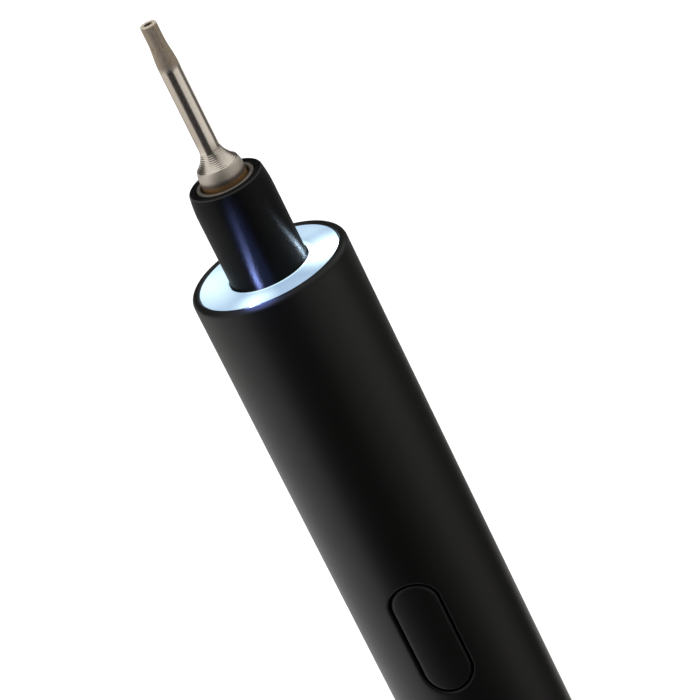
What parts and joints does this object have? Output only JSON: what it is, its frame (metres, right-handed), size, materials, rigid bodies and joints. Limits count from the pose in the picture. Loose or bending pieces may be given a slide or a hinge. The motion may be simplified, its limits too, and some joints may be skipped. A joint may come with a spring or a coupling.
{
  "type": "electric screwdriver",
  "caption": "Pen-shaped cordless electric screwdriver with a lit ring round its nose, press buttons on a round black barrel and a removable hex-shank bit.",
  "frame": {"origin": "centre of the flat tail face, on the tool's axis", "axes": "+Z along the axis from the tail to the tip of the bit; the buttons face -Y"},
  "size_m": [0.016, 0.016, 0.1509],
  "materials": {
    "barrel_black": "black anodised, fine bead-blasted",
    "nose_black": "black anodised, satin",
    "tail_black": "matte black",
    "button_black": "matte black",
    "light_diffuser": "milky, lit from behind",
    "bit_steel": "satin nickel-plated tool steel",
    "spindle_steel": "turned steel",
    "bearing_steel": "polished bearing steel",
    "plain_steel": "zinc-plated steel",
    "bronze": "sintered bronze",
    "brass": "machined brass",
    "copper": "bare copper",
    "gold_contact": "gold-plated",
    "gear_plastic": "natural acetal",
    "gear_steel": "sintered steel",
    "frame_plastic": "moulded black",
    "white_plastic": "moulded white",
    "black_plastic": "moulded black",
    "board_green": "green solder mask",
    "board_white": "white solder mask",
    "ribbon_amber": "polyimide film",
    "led_yellow": "phosphor over a white package",
    "ferrite": "sintered magnet",
    "neodymium": "nickel-plated magnet",
    "carbon": "pressed carbon",
    "battery_wrap": "shrink film",
    "lead_red": "insulated wire"
  },
  "bodies": {
    "body": {"barrel": "barrel_black", "tail_cap": "tail_black", "nose_sleeve": "nose_black", "light_ring": "light_diffuser", "led_board": "board_white", "led_chips": "led_yellow", "led_ribbon": "ribbon_amber", "bearing_outer_race": "bearing_steel", "front_bush": "bronze", "ring_gear": "gear_plastic", "gearbox_bolts": "plain_steel", "motor_plate": "plain_steel", "motor_screws": "plain_steel", "motor_can": "plain_steel", "motor_front_bush": "bronze", "motor_magnets": "ferrite", "motor_end_cap": "white_plastic", "motor_rear_bush": "bronze", "motor_brushes": "carbon", "motor_terminals": "copper", "button_switches": "plain_steel", "inner_frame": "frame_plastic", "main_board": "board_green", "board_screws": "plain_steel", "board_chips": "black_plastic", "battery_cell": "battery_wrap", "battery_tabs": "plain_steel", "motor_leads": "lead_red", "usb_shell": "plain_steel", "usb_tongue": "black_plastic", "usb_contacts": "gold_contact", "usb_board": "board_green"},
    "motor_rotor": {"motor_shaft": "bearing_steel", "rotor_core": "plain_steel", "rotor_winding": "copper", "commutator": "copper", "motor_pinion": "brass"},
    "input_stage": {"input_carrier": "gear_steel", "input_pins": "bearing_steel"},
    "spindle": {"spindle": "spindle_steel", "socket_magnet": "neodymium", "bearing_inner_race": "bearing_steel", "spindle_clip": "plain_steel", "output_carrier": "gear_steel", "output_pins": "bearing_steel"},
    "bearing_cage": {"bearing_balls": "bearing_steel", "bearing_cage": "brass"},
    "bit": {"bit": "bit_steel"},
    "forward_button": {"forward_button": "button_black", "forward_plunger": "black_plastic"},
    "reverse_button": {"reverse_button": "button_black", "reverse_plunger": "black_plastic"},
    "input_planet_1": {"input_planet_1": "gear_plastic"},
    "input_planet_2": {"input_planet_2": "gear_plastic"},
    "input_planet_3": {"input_planet_3": "gear_plastic"},
    "output_planet_1": {"output_planet_1": "gear_steel"},
    "output_planet_2": {"output_planet_2": "gear_steel"},
    "output_planet_3": {"output_planet_3": "gear_steel"}
  },
  "joints": [
    {"name": "motor_spin", "type": "hinge", "parent": "body", "child": "motor_rotor", "pos_m": [0, 0, 0.09], "axis": [0, 0, 1], "continuous": true},
    {"name": "input_carrier_spin", "type": "hinge", "parent": "body", "child": "input_stage", "pos_m": [0, 0, 0.1057], "axis": [0, 0, 1], "continuous": true},
    {"name": "spindle_spin", "type": "hinge", "parent": "body", "child": "spindle", "pos_m": [0, 0, 0.1167], "axis": [0, 0, 1], "continuous": true},
    {"name": "bearing_cage_spin", "type": "hinge", "parent": "body", "child": "bearing_cage", "pos_m": [0, 0, 0.1167], "axis": [0, 0, 1], "continuous": true},
    {"name": "input_planet_1_spin", "type": "hinge", "parent": "input_stage", "child": "input_planet_1", "pos_m": [0.003, 0, 0.1036], "axis": [0, 0, 1], "continuous": true},
    {"name": "input_planet_2_spin", "type": "hinge", "parent": "input_stage", "child": "input_planet_2", "pos_m": [-0.0015, 0.0026, 0.1036], "axis": [0, 0, 1], "continuous": true},
    {"name": "input_planet_3_spin", "type": "hinge", "parent": "input_stage", "child": "input_planet_3", "pos_m": [-0.0015, -0.0026, 0.1036], "axis": [0, 0, 1], "continuous": true},
    {"name": "output_planet_1_spin", "type": "hinge", "parent": "spindle", "child": "output_planet_1", "pos_m": [0.003, 0, 0.1082], "axis": [0, 0, 1], "continuous": true},
    {"name": "output_planet_2_spin", "type": "hinge", "parent": "spindle", "child": "output_planet_2", "pos_m": [-0.0015, 0.0026, 0.1082], "axis": [0, 0, 1], "continuous": true},
    {"name": "output_planet_3_spin", "type": "hinge", "parent": "spindle", "child": "output_planet_3", "pos_m": [-0.0015, -0.0026, 0.1082], "axis": [0, 0, 1], "continuous": true},
    {"name": "bit_pull", "type": "slide", "parent": "spindle", "child": "bit", "axis": [0, 0, 1], "range_m": [0, 0.012]},
    {"name": "forward_press", "type": "slide", "parent": "body", "child": "forward_button", "axis": [0, 1, 0], "range_m": [0, 0.00022], "stiffness_N_per_m": 4000},
    {"name": "reverse_press", "type": "slide", "parent": "body", "child": "reverse_button", "axis": [0, 1, 0], "range_m": [0, 0.00022], "stiffness_N_per_m": 4000}
  ],
  "couplings": [
    {"joint": "input_carrier_spin", "follows": "motor_spin", "ratio": 0.2},
    {"joint": "spindle_spin", "follows": "motor_spin", "ratio": 0.04},
    {"joint": "bearing_cage_spin", "follows": "motor_spin", "ratio": 0.016333},
    {"joint": "input_planet_1_spin", "follows": "motor_spin", "ratio": -0.53333},
    {"joint": "input_planet_2_spin", "follows": "motor_spin", "ratio": -0.53333},
    {"joint": "input_planet_3_spin", "follows": "motor_spin", "ratio": -0.53333},
    {"joint": "output_planet_1_spin", "follows": "motor_spin", "ratio": -0.10667},
    {"joint": "output_planet_2_spin", "follows": "motor_spin", "ratio": -0.10667},
    {"joint": "output_planet_3_spin", "follows": "motor_spin", "ratio": -0.10667}
  ]
}
